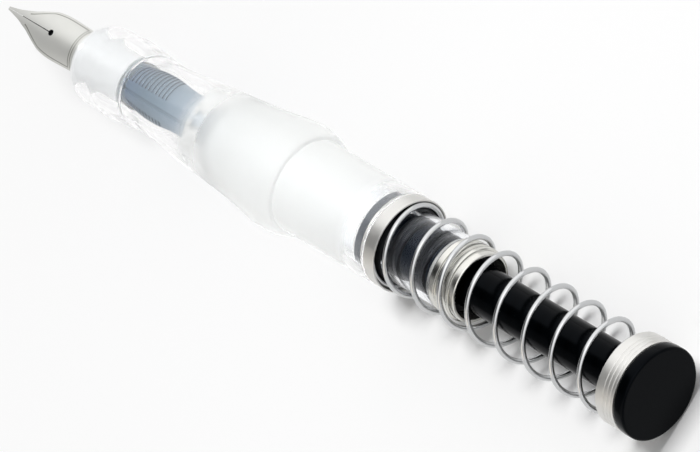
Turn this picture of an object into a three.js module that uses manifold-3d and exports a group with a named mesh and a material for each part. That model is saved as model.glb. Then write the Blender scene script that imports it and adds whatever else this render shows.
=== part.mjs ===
// A clear fountain pen that fills by a spring-returned push piston, shown without its cap and rear sleeve.
// Millimetres, +Z up. The pen lies along X, its nib at -X and its push knob at +X, with the nib's face up.
// Places along the pen are counted from the tip of the nib.

import * as THREE from "three";
import { mergeVertices } from "three/addons/utils/BufferGeometryUtils.js";
import Module from "manifold-3d";

const wasm = await Module();
wasm.setup();

// Fits and facets
const slip = 0.1; // radial room between pieces that slide over each other
const running_room = 0.08; // radial room of the rod and the piston in their bores
const seat_gap = 0.1; // room along the axis between a piece and its seat
const overrun = 1; // how far a cutter passes the face that it cuts
const weld = 1e-4; // points closer than this are one point
const round_sides = 32;
const small_sides = 24;
const seal_sides = 6; // points round the section of a sealing ring

// Barrel
const shoulder_radius = 7.5; // the widest place of the pen, just where the grip ends
const nib_reach = 16.7; // tip of the nib to the mouth of the grip
const grip_length = 38.1; // mouth to the crest of the shoulder
const shoulder_fall = 3.2; // crest to the flat stop behind it
const stop_step = 0.42; // how far that flat stop stands out from the land
const land_length = 16.6; // the straight part that a rear sleeve screws onto
const land_wall = 0.45; // clear wall round the gasket, at the land's rear end
const facet_depth_share = 0.08; // how much the three finger facets are flattened

// Nib
const nib_thickness = 0.3;
const nib_half_width = 3.07;
const nib_section_radius = 3.3; // how tightly the nib is rolled where it enters the grip
const nib_crown_fall = 0.15; // how far the nib's back stays under the housing that holds it
const nib_tang = 7.8; // the part of the nib inside the grip
const slit_width = 0.12;
const vent_radius = 0.42;
const vent_inset = 5.8; // the vent's middle to the mouth of the grip
const tipping_radius = 0.3;

// Feed and its housing
const housing_wall = 0.28;
const housing_length = 8.9;
const housing_inset = 0.2; // how far the housing sits behind the mouth
const drum_front_radius = 2.4;
const drum_rear_radius = 2.85;
const drum_length = 11.8;
const fin_count = 12;
const fin_pitch = 0.68;
const fin_thickness = 0.34;
const fin_depth = 0.55;
const channel_width = 0.3;
const channel_depth = 0.4;
const channel_turn = -0.42; // radians that the channel and its smooth band lie off the nib's slit
const smooth_band = 1.2; // half the width of the band beside the channel that has no fins
const tongue_radius = 2.9;
const tongue_overhang = 3.6; // how far the tongue stays behind the nib's point
const comb_count = 5;
const comb_pitch = 1.1;
const comb_slot = 0.4;
const comb_inset = 6.1; // the comb's first slot to the mouth of the grip
const comb_web = 0.4; // axis to the top of the comb's slots
const tail_radius = 0.9;
const tail_bore = 0.4;
const tail_bore_depth = 2;
const tail_reach = 5.4;
const feed_gap = 0.15; // room round the feed in the clear grip

// Ink chamber
const chamber_bore = 4.2;
const chamber_wall = 0.7;
const partition = 2.9; // clear wall between the feed and the ink
const funnel_length = 3.5;
const funnel_mouth = 1.6;
const seal_cord = 0.5; // thickness of the small sealing rings
const seal_bed = 0.4; // depth of the groove that holds one
const gasket_length = 1.1;
const gasket_step = 0.85; // how far the gasket stands out round the chamber
const gland_length = 0.7; // how far the spring ring reaches into the barrel to press the gasket
const gland_wall = 0.75; // nearly as wide as the gasket's bed

// Spring, its ring and its cup
const wire = 0.7;
const curl_room = 0.25; // between the wire's curls and the chamber's cap inside them
const spring_turns = 7.9; // open turns
const closed_turns = 0.7; // nearly flat part of a turn at each end
const closed_pitch = 1.2;
const spring_phase_share = 0.38; // of a turn, where the wire begins
const spring_room = 41.85; // seat to seat, with the knob released
const curl_steps = 20; // fewer would cut into the chamber that the spring surrounds
const wire_sides = 5;
const ring_wall = 0.2;
const ring_flange = 0.25;
const ring_skirt = 1.65;
const ring_lip = 0.04;
const lip_length = 0.3;
const washer_thickness = 0.3;
const cup_wall = 0.17;
const cup_skirt = 0.95;
const cup_floor = 2.05;
const cup_groove = 0.12;
const cup_groove_length = 0.2;

// Piston, rod and knob
const travel = 27; // how far the knob is pushed in
const press_clearance = 0.8; // left between cup and chamber when it is pushed home
const rod_radius = 3.12;
const spigot_radius = 1.7; // the rod's thinner ends
const spigot_length = 2.4;
const piston_length = 7.8;
const piston_room = 0.45; // between the piston's body and the chamber's bore
const piston_seal_length = 1.8;
const piston_seal_inset = 0.7;
const piston_seal_bed = 0.7; // depth of the groove that holds a piston seal
const knob_overhang = 0.05; // beyond the cup
const knob_thickness = 1.75;
const knob_rounding = 0.3;
const knob_socket = 1.15; // depth of the blind hole that takes the rod

// Chamber end cap, a turned steel collar, and its wiper
const cap_length = 4.1;
const cap_step = 0.1; // how far the cap stands out from the chamber
const cap_wall = 0.7; // from the collar to the open mouth behind the wiper
const cap_spigot = 1;
const cap_groove = 0.2;
const cap_groove_length = 0.45;
const cap_neck_step = 0.28; // how much slimmer the neck round the mouth is than the collar
const cap_neck_length = 0.95;
const cap_rim = 0.12; // the broken edge of the mouth
const cap_flange = 0.4;
const wiper_length = 1.3;

// Radii that follow from those sizes
const housing_inner = nib_section_radius;
const nib_crown = nib_section_radius - nib_crown_fall;
const chamber_radius = chamber_bore + chamber_wall;
const gasket_bed = chamber_radius + gasket_step + slip;
const land_radius = gasket_bed + land_wall;
const stop_radius = land_radius + stop_step;
const cap_radius = chamber_radius + cap_step;
const cap_mouth = cap_radius - cap_wall;
const spring_radius = cap_radius + curl_room + wire / 2; // to the middle of the wire
const ring_bore = spring_radius + wire / 2 + slip;
const ring_radius = ring_bore + ring_wall + ring_lip;
const cup_radius = ring_bore + cup_wall;
const knob_radius = cup_radius + knob_overhang;
const piston_radius = chamber_bore - piston_room;

// Places along the pen
const mouth = nib_reach;
const nib_end = mouth + nib_tang;
const vent_place = mouth - vent_inset;
const comb_start = mouth - comb_inset;
const feed_start = tongue_overhang;
const crest = mouth + grip_length;
const stop_face = crest + shoulder_fall;
const barrel_end = stop_face + land_length;
const housing_front = mouth + housing_inset;
const housing_end = housing_front + housing_length;
const drum_front = housing_end + seat_gap;
const drum_end = drum_front + drum_length;
const feed_bore_end = drum_end + seat_gap;
const housing_seat = housing_end + 2 * seat_gap + seal_cord;
const partition_end = feed_bore_end + partition;
const chamber_seat = partition_end + funnel_length;
const chamber_front = chamber_seat + 2 * seat_gap + seal_cord;
const ring_front = barrel_end + seat_gap;
const ring_floor = ring_front + ring_flange;
const washer_front = ring_floor + seat_gap;
const washer_rear = washer_front + washer_thickness;
const cup_floor_front = washer_rear + spring_room;
const cup_rear = cup_floor_front + cup_floor;
const knob_front = cup_rear + seat_gap;
const knob_face = knob_front + knob_thickness;
const knob_socket_end = knob_front + knob_socket;
const cap_rear = cup_floor_front - travel - press_clearance;
const cap_front = cap_rear - cap_length;
const chamber_rear = cap_front - seat_gap;
const piston_rear = cap_front - cap_spigot - seat_gap;
const piston_front = piston_rear - piston_length;
const piston_seal_fronts = [piston_front, piston_rear - piston_seal_length].map(
  (place, i) => place + (i ? -piston_seal_inset : piston_seal_inset),
);
const rod_front = piston_rear + seat_gap;
const rod_rear = knob_front - seat_gap;
const wiper_seat = cap_front + cap_flange;
const gasket_front = barrel_end - gland_length - seat_gap - gasket_length;
const gasket_rear = gasket_front + gasket_length;

// Forming helpers

// A turned body from its outline, given as [place, radius] points, along X, with a flat facet undermost.
function turned(outline, sides = round_sides) {
  const points = outline.map(([place, radius]) => new THREE.Vector2(radius, place));
  const touches_axis = outline[0][1] === 0;
  if (!touches_axis) points.push(points[0].clone());
  return new THREE.LatheGeometry(points, sides, Math.PI / sides).rotateZ(-Math.PI / 2);
}

// A plain ring between two places and two radii.
function ring(front, rear, inner, outer, sides = round_sides) {
  return turned([[front, inner], [front, outer], [rear, outer], [rear, inner]], sides);
}

// A sealing ring of round section that fills the space between two radii.
function seal(front, inner, outer) {
  const outline = [];
  for (let i = 0; i < seal_sides; i++) {
    const angle = (i / seal_sides) * 2 * Math.PI;
    outline.push([
      front + (seal_cord * (1 - Math.cos(angle))) / 2,
      (inner + outer) / 2 + (Math.sin(angle) * (outer - inner)) / 2,
    ]);
  }
  return turned(outline, small_sides);
}

// A body skinned over a row of rings with as many points each, and closed by a fan at both ends.
function skinned(rings) {
  const count = rings[0].length;
  const points = rings.flat();
  const faces = [];
  for (let i = 0; i + 1 < rings.length; i++) {
    for (let j = 0; j < count; j++) {
      const a = i * count + j;
      const b = i * count + ((j + 1) % count);
      faces.push(a, b, a + count, b, b + count, a + count);
    }
  }
  const last = (rings.length - 1) * count;
  for (let j = 1; j + 1 < count; j++) {
    faces.push(0, j + 1, j, last, last + j, last + j + 1);
  }
  return new THREE.BufferGeometry().setFromPoints(points).setIndex(faces);
}

function solid(geometry) {
  const bare = geometry.index ? geometry.toNonIndexed() : geometry.clone();
  bare.deleteAttribute("normal");
  bare.deleteAttribute("uv");
  const merged = mergeVertices(bare, weld);
  return new wasm.Manifold(
    new wasm.Mesh({
      numProp: 3,
      vertProperties: merged.attributes.position.array,
      triVerts: new Uint32Array(merged.index.array),
    }),
  );
}

function geometryOf(made) {
  const mesh = made.getMesh();
  return new THREE.BufferGeometry()
    .setAttribute("position", new THREE.BufferAttribute(mesh.vertProperties, 3))
    .setIndex(new THREE.BufferAttribute(mesh.triVerts, 1));
}

function cut(base, ...cutters) {
  return geometryOf(cutters.reduce((left, cutter) => left.subtract(solid(cutter)), solid(base)));
}

// The value of a smooth curve through [share, value] points, at any share between the first and the last.
function curveThrough(points) {
  const curve = new THREE.SplineCurve(points.map(([x, y]) => new THREE.Vector2(x, y)));
  const samples = curve.getPoints(points.length * 20);
  return (share) => {
    const after = Math.max(1, samples.findIndex((p) => p.x >= share));
    const past = share > samples.at(-1).x;
    const [a, b] = past ? samples.slice(-2) : [samples[after - 1], samples[after]];
    return THREE.MathUtils.mapLinear(share, a.x, b.x, a.y, b.y);
  };
}

// Front barrel: a clear moulding whose grip swells from a rounded lip to the shoulder

// Share of the grip's length, and radius as a share of the shoulder's.
const grip_outline_shares = [
  [0.012, 0.573], [0.039, 0.66], [0.073, 0.713], [0.105, 0.72], [0.135, 0.712], [0.178, 0.742],
  [0.24, 0.722], [0.335, 0.68], [0.43, 0.712], [0.547, 0.763], [0.691, 0.82], [0.822, 0.883],
  [0.92, 0.955], [0.968, 0.99], [1, 1],
];
const facet_from_share = 0.17;
const facet_to_share = 0.6;
const grip_rings = 22;
const shoulder_rings = 4;
const mouth_bore = housing_inner + housing_wall + slip;
const feed_bore = drum_rear_radius + feed_gap;
const chamber_fit = chamber_radius + slip;
const rod_hole = rod_radius + running_room + slip;

function frontBarrel() {
  const radiusAt = curveThrough(grip_outline_shares);
  const outline = [[mouth, 0], [mouth, mouth_bore + slip]];
  const first = grip_outline_shares[0][0];
  for (let i = 0; i < grip_rings; i++) {
    const even = i / (grip_rings - 1);
    const share = first + (1 - first) * even ** 1.4;
    outline.push([mouth + share * grip_length, radiusAt(share) * shoulder_radius]);
  }
  for (let i = 1; i <= shoulder_rings; i++) {
    const angle = (i / shoulder_rings) * (Math.PI / 2);
    outline.push([
      crest + Math.sin(angle) * shoulder_fall,
      stop_radius + Math.cos(angle) * (shoulder_radius - stop_radius),
    ]);
  }
  outline.push([stop_face, land_radius], [barrel_end, land_radius], [barrel_end, 0]);
  const blank = turned(outline);
  flattenFacets(blank);

  const bores = turned([
    [mouth - overrun, 0],
    [mouth - overrun, mouth_bore],
    [housing_seat, mouth_bore],
    [housing_seat, feed_bore],
    [feed_bore_end, feed_bore],
    [feed_bore_end, tail_radius + slip],
    [partition_end, tail_radius + slip],
    [partition_end, funnel_mouth],
    [chamber_seat, chamber_bore],
    [chamber_seat, chamber_fit],
    [gasket_front - seat_gap, chamber_fit],
    [gasket_front - seat_gap, gasket_bed],
    [barrel_end + overrun, gasket_bed],
    [barrel_end + overrun, 0],
  ]);
  return cut(blank, bores);
}

// Presses three soft finger facets into the turned grip, with a ridge in line with the nib.
function flattenFacets(geometry) {
  const position = geometry.attributes.position;
  for (let i = 0; i < position.count; i++) {
    const share = (position.getX(i) - mouth) / grip_length;
    const reached = (share - facet_from_share) / (facet_to_share - facet_from_share);
    const along = Math.sin(Math.PI * THREE.MathUtils.clamp(reached, 0, 1));
    const round = Math.atan2(position.getY(i), position.getZ(i));
    const depth = (facet_depth_share * along ** 2 * (1 - Math.cos(3 * round))) / 2;
    position.setY(i, position.getY(i) * (1 - depth));
    position.setZ(i, position.getZ(i) * (1 - depth));
  }
}

// Nib: a rolled steel blade with a slit, a round vent and a tipped point

// Share of the nib's length, against half its width, its crown's height and the radius it is rolled to.
const nib_width_shares = [
  [0, 0.07], [0.07, 0.145], [0.14, 0.24], [0.21, 0.39], [0.25, 0.49], [0.34, 0.81], [0.38, 0.93],
  [0.46, 1], [0.56, 0.985], [0.68, 0.955], [1, 0.93],
];
const nib_crown_shares = [
  [0, 0.08], [0.1, 0.36], [0.2, 0.62], [0.3, 0.8], [0.4, 0.91], [0.52, 0.97], [0.68, 1], [1, 1],
];
const nib_roll_shares = [
  [0, 0.75], [0.15, 0.9], [0.3, 1.12], [0.42, 1.2], [0.55, 1.08], [0.68, 1], [1, 0.99],
];
const nib_rings = 20;
const nib_points = 9;

function nibBlade() {
  const widthAt = curveThrough(nib_width_shares);
  const crownAt = curveThrough(nib_crown_shares);
  const rollAt = curveThrough(nib_roll_shares);
  const rings = [];
  for (let i = 0; i < nib_rings; i++) {
    const share = (i / (nib_rings - 1)) ** 1.15;
    const place = tipping_radius + share * (nib_end - tipping_radius);
    const roll = rollAt(share) * nib_section_radius;
    const spread = Math.asin(Math.min(1, (widthAt(share) * nib_half_width) / roll));
    const centre = crownAt(share) * nib_crown - roll;
    const arc = (radius, turn) =>
      new THREE.Vector3(place, radius * Math.sin(turn), centre + radius * Math.cos(turn));
    const upper = [];
    const lower = [];
    for (let j = 0; j < nib_points; j++) {
      const turn = spread * (1 - (2 * j) / (nib_points - 1));
      upper.push(arc(roll, turn));
      lower.unshift(arc(roll - nib_thickness, turn));
    }
    rings.push([...lower, ...upper]);
  }
  return skinned(rings);
}

function nib() {
  const tip_height = nib_crown_shares[0][1] * nib_crown - nib_thickness / 2;
  const tipping = new THREE.SphereGeometry(tipping_radius, 12, 8).translate(tipping_radius, 0, tip_height);
  const slit_length = vent_place + overrun;
  const slit = new THREE.BoxGeometry(slit_length, slit_width, 4 * nib_crown);
  slit.translate(vent_place - slit_length / 2, 0, nib_crown);
  const vent = new THREE.CylinderGeometry(vent_radius, vent_radius, 2 * nib_crown, 16)
    .rotateX(Math.PI / 2)
    .translate(vent_place, 0, nib_crown);
  const blade = solid(nibBlade()).add(solid(tipping));
  return geometryOf(blade.subtract(solid(slit)).subtract(solid(vent)));
}

// Feed: a finned drum behind, a tongue under the nib in front, and a thin tail into the ink

// Place as a share of the tongue's length, then half width, top and bottom as shares of its radius.
const tongue_shares = [
  [0, 0.06, 0.31, 0.12], [0.06, 0.14, 0.46, 0.16], [0.2, 0.38, 0.72, 0.08], [0.38, 0.66, 0.86, -0.34],
  [0.56, 0.88, 0.91, -0.82], [0.66, 0.94, 0.92, -0.97], [0.72, 0.95, 0.92, -1], [1, 0.95, 0.92, -1],
];
const tongue_points = 20;

function feed() {
  const tongue_length = drum_front + seat_gap - feed_start;
  const tongue = skinned(
    tongue_shares.map(([share, half_width, top, bottom]) => {
      const section = [];
      for (let j = 0; j < tongue_points; j++) {
        const turn = (j / tongue_points) * 2 * Math.PI;
        const middle = (top + bottom) / 2;
        const half_height = (top - bottom) / 2;
        section.push(
          new THREE.Vector3(
            feed_start + share * tongue_length,
            Math.sin(turn) * half_width * tongue_radius,
            (middle - Math.cos(turn) * half_height) * tongue_radius,
          ),
        );
      }
      return section;
    }),
  );

  // The drum widens to the rear. Its fins stop at a smooth band, in which the ink channel runs.
  const radiusAt = (place) =>
    THREE.MathUtils.mapLinear(place, drum_front, drum_end, drum_front_radius, drum_rear_radius);
  const front = [[drum_front, 0], [drum_front, drum_front_radius]];
  const rear = [
    [drum_end, drum_rear_radius],
    [drum_end, tail_radius],
    [drum_end + tail_reach, tail_radius],
    [drum_end + tail_reach, tail_bore],
    [drum_end + tail_reach - tail_bore_depth, tail_bore],
    [drum_end + tail_reach - tail_bore_depth, 0],
  ];
  const grooves = [];
  for (let i = 1; i <= fin_count; i++) {
    const end = drum_front + i * fin_pitch;
    const start = end - fin_pitch + fin_thickness;
    grooves.push(
      [start, radiusAt(start)],
      [start, radiusAt(start) - fin_depth],
      [end, radiusAt(end) - fin_depth],
      [end, radiusAt(end)],
    );
  }
  const alongChannel = (geometry) => geometry.rotateX(-channel_turn);
  const band_length = drum_length - 2 * seat_gap;
  const band = new THREE.BoxGeometry(band_length, 2 * smooth_band, 2 * drum_rear_radius);
  band.translate((drum_front + drum_end) / 2, 0, drum_rear_radius);
  const smooth = solid(turned([...front, ...rear], small_sides)).intersect(solid(alongChannel(band)));
  const channel = new THREE.BoxGeometry(drum_length + 2 * overrun, channel_width, 2 * channel_depth);
  channel.translate((drum_front + drum_end) / 2 + overrun, 0, drum_rear_radius);
  let made = solid(turned([...front, ...grooves, ...rear], small_sides))
    .add(smooth)
    .subtract(solid(alongChannel(channel)))
    .add(solid(tongue));
  for (let i = 0; i < comb_count; i++) {
    const slot = new THREE.BoxGeometry(comb_slot, 2 * tongue_radius, tongue_radius);
    slot.translate(comb_start + i * comb_pitch, 0, -tongue_radius / 2 - comb_web);
    made = made.subtract(solid(slot));
  }
  return geometryOf(made);
}

// Nib housing, ink chamber and the collar that closes it

function nibHousing() {
  return ring(housing_front, housing_end, housing_inner, housing_inner + housing_wall);
}

function inkChamber() {
  return ring(chamber_front, chamber_rear, chamber_bore, chamber_radius);
}

// Places of the two grooves, as shares of the cap's length.
const cap_groove_shares = [0.2, 0.51];
const cap_spigot_radius = chamber_bore - slip;
const cap_spigot_front = cap_front - cap_spigot;
const cap_seal_front = cap_spigot_front + (cap_spigot - seal_cord) / 2;

function chamberEndCap() {
  const bed_front = cap_seal_front - seat_gap / 2;
  const bed_rear = cap_seal_front + seal_cord + seat_gap / 2;
  const outline = [
    [cap_spigot_front, rod_hole],
    [cap_spigot_front, cap_spigot_radius],
    [bed_front, cap_spigot_radius],
    [bed_front, cap_spigot_radius - seal_bed],
    [bed_rear, cap_spigot_radius - seal_bed],
    [bed_rear, cap_spigot_radius],
    [cap_front, cap_spigot_radius],
    [cap_front, cap_radius],
  ];
  for (const share of cap_groove_shares) {
    const place = cap_front + share * cap_length;
    outline.push(
      [place, cap_radius],
      [place, cap_radius - cap_groove],
      [place + cap_groove_length, cap_radius - cap_groove],
      [place + cap_groove_length, cap_radius],
    );
  }
  const neck_radius = cap_radius - cap_neck_step;
  outline.push([cap_rear - cap_neck_length, cap_radius], [cap_rear - cap_neck_length, neck_radius]);
  outline.push([cap_rear - cap_rim, neck_radius], [cap_rear, neck_radius - cap_rim]);
  outline.push([cap_rear, cap_mouth], [wiper_seat, cap_mouth], [wiper_seat, rod_hole]);
  return turned(outline);
}

// Spring: one unbroken wire, its curls opening out from a nearly flat turn at each end

function returnSpring() {
  const start = washer_rear + seat_gap + wire / 2;
  const end = cup_floor_front - seat_gap - wire / 2;
  const turns = spring_turns + 2 * closed_turns;
  const open_pitch = (end - start - 2 * closed_turns * closed_pitch) / spring_turns;
  const placeAt = (turn) => {
    const opened = THREE.MathUtils.clamp(turn - closed_turns, 0, spring_turns);
    return start + (turn - opened) * closed_pitch + opened * open_pitch;
  };
  const steps = turns * curl_steps;
  const path = [];
  for (let i = 0; i <= steps; i++) {
    const turn = i / curl_steps;
    const angle = (turn + spring_phase_share) * 2 * Math.PI;
    const across = new THREE.Vector3(0, Math.cos(angle), Math.sin(angle));
    path.push({ across, point: across.clone().multiplyScalar(spring_radius).setX(placeAt(turn)) });
  }
  // Both ends of the wire run straight for one diameter.
  const straight = (last, before) => {
    const along = last.point.clone().sub(before.point).setX(0).setLength(wire);
    return { across: last.across, point: last.point.clone().add(along) };
  };
  path.unshift(straight(path[0], path[1]));
  path.push(straight(path.at(-1), path.at(-2)));
  console.log("least gap of the spring to itself: " + (leastGap(path) - wire).toFixed(2) + " mm");

  const rings = path.map(({ across, point }, i) => {
    const forward = path[Math.min(i + 1, path.length - 1)].point.clone();
    forward.sub(path[Math.max(i - 1, 0)].point).normalize();
    const outward = across.clone().addScaledVector(forward, -across.dot(forward)).normalize();
    const sideways = forward.clone().cross(outward);
    const section = [];
    for (let j = 0; j < wire_sides; j++) {
      const turn = (j / wire_sides) * 2 * Math.PI;
      section.push(
        point
          .clone()
          .addScaledVector(outward, (Math.cos(turn) * wire) / 2)
          .addScaledVector(sideways, (Math.sin(turn) * wire) / 2),
      );
    }
    return section;
  });
  return skinned(rings);
}

// The least distance between two points of the path that are at least half a turn apart along it.
function leastGap(path) {
  let least = Infinity;
  for (let i = 0; i < path.length; i++) {
    for (let j = i + curl_steps / 2; j < path.length; j++) {
      least = Math.min(least, path[i].point.distanceTo(path[j].point));
    }
  }
  return least;
}

// The two steel cups that hold the spring, and the washer under its first turn

function frontSpringRing() {
  const ring_rear = ring_floor + ring_skirt;
  const gland_front = gasket_rear + seat_gap;
  return turned([
    [gland_front, chamber_fit],
    [gland_front, chamber_fit + gland_wall],
    [ring_front, chamber_fit + gland_wall],
    [ring_front, ring_radius - ring_lip],
    [ring_rear - lip_length, ring_radius - ring_lip],
    [ring_rear - lip_length, ring_radius],
    [ring_rear, ring_radius],
    [ring_rear, ring_bore],
    [ring_floor, ring_bore],
    [ring_floor, chamber_fit],
  ]);
}

// Places of the fine grooves, as shares of the cup's floor.
const cup_groove_shares = [0.12, 0.42, 0.72];

function springCup() {
  const cup_front = cup_floor_front - cup_skirt;
  const outline = [
    [cup_front, ring_bore],
    [cup_front, cup_radius],
  ];
  for (const share of cup_groove_shares) {
    const place = cup_floor_front + share * cup_floor;
    outline.push(
      [place, cup_radius],
      [place, cup_radius - cup_groove],
      [place + cup_groove_length, cup_radius - cup_groove],
      [place + cup_groove_length, cup_radius],
    );
  }
  outline.push([cup_rear, cup_radius], [cup_rear, rod_hole], [cup_floor_front, rod_hole]);
  outline.push([cup_floor_front, ring_bore]);
  return turned(outline);
}

function seatWasher() {
  return ring(washer_front, washer_rear, chamber_fit, ring_bore - slip);
}

// Plunger: knob, rod and the piston with its two sealing rings

function pushKnob() {
  const socket = spigot_radius + slip / 2;
  const outline = [
    [knob_front, socket],
    [knob_front, knob_radius],
  ];
  for (let i = 0; i <= 4; i++) {
    const angle = (i / 4) * (Math.PI / 2);
    outline.push([
      knob_face - knob_rounding * (1 - Math.sin(angle)),
      knob_radius - knob_rounding * (1 - Math.cos(angle)),
    ]);
  }
  outline.push([knob_face, 0], [knob_socket_end, 0], [knob_socket_end, socket]);
  return turned(outline);
}

function plungerRod() {
  return turned(
    [
      [rod_front - spigot_length, 0],
      [rod_front - spigot_length, spigot_radius],
      [rod_front, spigot_radius],
      [rod_front, rod_radius],
      [rod_rear, rod_radius],
      [rod_rear, spigot_radius],
      [knob_socket_end - seat_gap, spigot_radius],
      [knob_socket_end - seat_gap, 0],
    ],
    small_sides,
  );
}

function pistonHead() {
  const bed = piston_radius - piston_seal_bed;
  const socket = spigot_radius + slip / 2;
  const socket_end = rod_front - spigot_length - seat_gap;
  const outline = [
    [piston_front, 0],
    [piston_front, piston_radius],
  ];
  for (const front of piston_seal_fronts) {
    outline.push(
      [front - seat_gap, piston_radius],
      [front - seat_gap, bed],
      [front + piston_seal_length + seat_gap, bed],
      [front + piston_seal_length + seat_gap, piston_radius],
    );
  }
  outline.push([piston_rear, piston_radius], [piston_rear, socket], [socket_end, socket], [socket_end, 0]);
  return turned(outline, small_sides);
}

// A piston seal: a ring whose middle is waisted, so that it wipes the bore with two edges.
function pistonSeal(front) {
  const outer = chamber_bore - running_room;
  const inner = piston_radius - piston_seal_bed + slip / 2;
  const waist = outer - piston_seal_bed / 4;
  const rear = front + piston_seal_length;
  return turned(
    [
      [front, inner],
      [front, outer],
      [front + piston_seal_length / 4, outer],
      [front + piston_seal_length / 2, waist],
      [rear - piston_seal_length / 4, outer],
      [rear, outer],
      [rear, inner],
    ],
    small_sides,
  );
}

// Sealing rings and gaskets

function housingSeal() {
  return seal(housing_end + seat_gap, drum_rear_radius + slip, mouth_bore - slip);
}

function chamberFrontSeal() {
  return seal(chamber_seat + seat_gap, chamber_bore + slip, chamber_fit - slip);
}

function endCapSeal() {
  return seal(cap_seal_front, cap_spigot_radius - seal_bed + slip / 2, cap_spigot_radius + slip / 2);
}

function chamberGasket() {
  return ring(gasket_front, gasket_rear, chamber_radius + slip / 2, gasket_bed - slip);
}

function rodWiper() {
  const front = wiper_seat + seat_gap;
  return ring(front, front + wiper_length, rod_radius + running_room, cap_mouth - slip);
}

// Finishes

const clear = { color: 0xeef2f4, roughness: 0.05, metalness: 0, transparent: true, opacity: 0.35 };
const steel = { color: 0xc9c6c2, roughness: 0.32, metalness: 1 };
const spring_steel = { color: 0xd6d8da, roughness: 0.25, metalness: 1 };
const slate = { color: 0x6f8496, roughness: 0.45, metalness: 0 };
const black = { color: 0x0d1116, roughness: 0.22, metalness: 0 };
const navy = { color: 0x1a2230, roughness: 0.18, metalness: 0 };
const silicone = { color: 0xdfe6e8, roughness: 0.5, metalness: 0 };
const dark_rubber = { color: 0x191b1e, roughness: 0.6, metalness: 0 };

const pen = new THREE.Group();
pen.position.set(-knob_face / 2, 0, shoulder_radius * Math.cos(Math.PI / round_sides));

const pieces = {
  front_barrel: [frontBarrel(), clear],
  nib: [nib(), steel],
  feed: [feed(), slate],
  nib_housing: [nibHousing(), clear],
  housing_o_ring: [housingSeal(), silicone],
  chamber_front_o_ring: [chamberFrontSeal(), silicone],
  ink_chamber: [inkChamber(), clear],
  chamber_gasket: [chamberGasket(), dark_rubber],
  front_spring_ring: [frontSpringRing(), steel],
  spring_seat_washer: [seatWasher(), dark_rubber],
  return_spring: [returnSpring(), spring_steel],
  chamber_end_cap: [chamberEndCap(), steel],
  end_cap_o_ring: [endCapSeal(), silicone],
  rod_wiper: [rodWiper(), dark_rubber],
  piston_head: [pistonHead(), navy],
  piston_front_seal: [pistonSeal(piston_seal_fronts[0]), dark_rubber],
  piston_rear_seal: [pistonSeal(piston_seal_fronts[1]), dark_rubber],
  plunger_rod: [plungerRod(), black],
  spring_cup: [springCup(), steel],
  push_knob: [pushKnob(), black],
};
for (const [name, [geometry, finish]] of Object.entries(pieces)) {
  const mesh = new THREE.Mesh(geometry, new THREE.MeshStandardMaterial(finish));
  mesh.name = name;
  pen.add(mesh);
}

export default pen;
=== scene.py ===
# %% [markdown]
# A clear fountain pen, dressed for its portrait.
#
# The pen is a demonstrator: its barrel and ink chamber are moulded in clear plastic, so that the finned
# feed, the piston and the ink can be seen. It fills by a spring-returned piston. Its cap and its rear sleeve
# are off, which bares the spring, its two steel cups and the black push knob. This script gives each piece
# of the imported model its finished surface, one cell at a time, in metres and in the model's own frame: the
# pen lies along X with its nib at -X, the nib's face up.

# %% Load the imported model
import math

import bmesh
import bpy
import numpy
from mathutils import Matrix, Vector


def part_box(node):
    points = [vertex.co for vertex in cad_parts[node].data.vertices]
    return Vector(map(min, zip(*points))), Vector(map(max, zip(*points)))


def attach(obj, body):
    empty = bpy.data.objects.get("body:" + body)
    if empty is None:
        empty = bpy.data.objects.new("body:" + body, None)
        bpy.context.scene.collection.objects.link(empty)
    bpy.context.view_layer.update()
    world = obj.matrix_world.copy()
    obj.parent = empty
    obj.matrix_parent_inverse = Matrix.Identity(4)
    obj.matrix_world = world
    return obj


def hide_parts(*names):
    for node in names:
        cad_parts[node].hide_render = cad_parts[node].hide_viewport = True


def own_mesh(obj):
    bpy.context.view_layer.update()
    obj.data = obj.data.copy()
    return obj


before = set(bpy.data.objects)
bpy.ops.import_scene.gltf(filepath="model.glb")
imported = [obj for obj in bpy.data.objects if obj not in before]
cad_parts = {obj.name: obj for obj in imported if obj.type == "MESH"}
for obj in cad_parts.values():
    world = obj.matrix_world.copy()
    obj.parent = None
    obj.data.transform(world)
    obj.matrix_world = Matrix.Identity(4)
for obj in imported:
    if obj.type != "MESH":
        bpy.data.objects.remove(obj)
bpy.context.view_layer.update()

# %% [markdown]
# Sizes on a drawing of a pen are read from the tip of the nib. So the cells below give a place as
# millimetres behind the tip, and a radius as millimetres off the one axis, which is read from the knob, the
# roundest piece.

# %% Places along the pen
mm = 0.001
knob_low, knob_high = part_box("push_knob")
axis_height = (knob_low.z + knob_high.z) / 2
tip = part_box("nib")[0].x


def point(place, y, z):
    """A point given in millimetres: behind the tip, across the pen, and above its axis."""
    return Vector((tip + place * mm, y * mm, axis_height + z * mm))


print("axis height: %.2f mm, tip at x = %.2f mm" % (axis_height / mm, tip / mm))

# %% [markdown]
# Nearly every piece of a pen comes off a lathe or out of a round mould, so one helper turns an outline about
# the axis. A real edge is never knife sharp: it is broken by a small radius that catches a thin line of
# light. `softened` puts that radius on each corner of the outline. The weighted normals keep the flat faces
# flat up to it.

# %% Turning an outline
scene = bpy.context.scene
nearly_straight = math.radians(170)
longest_cut = 0.45


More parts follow.
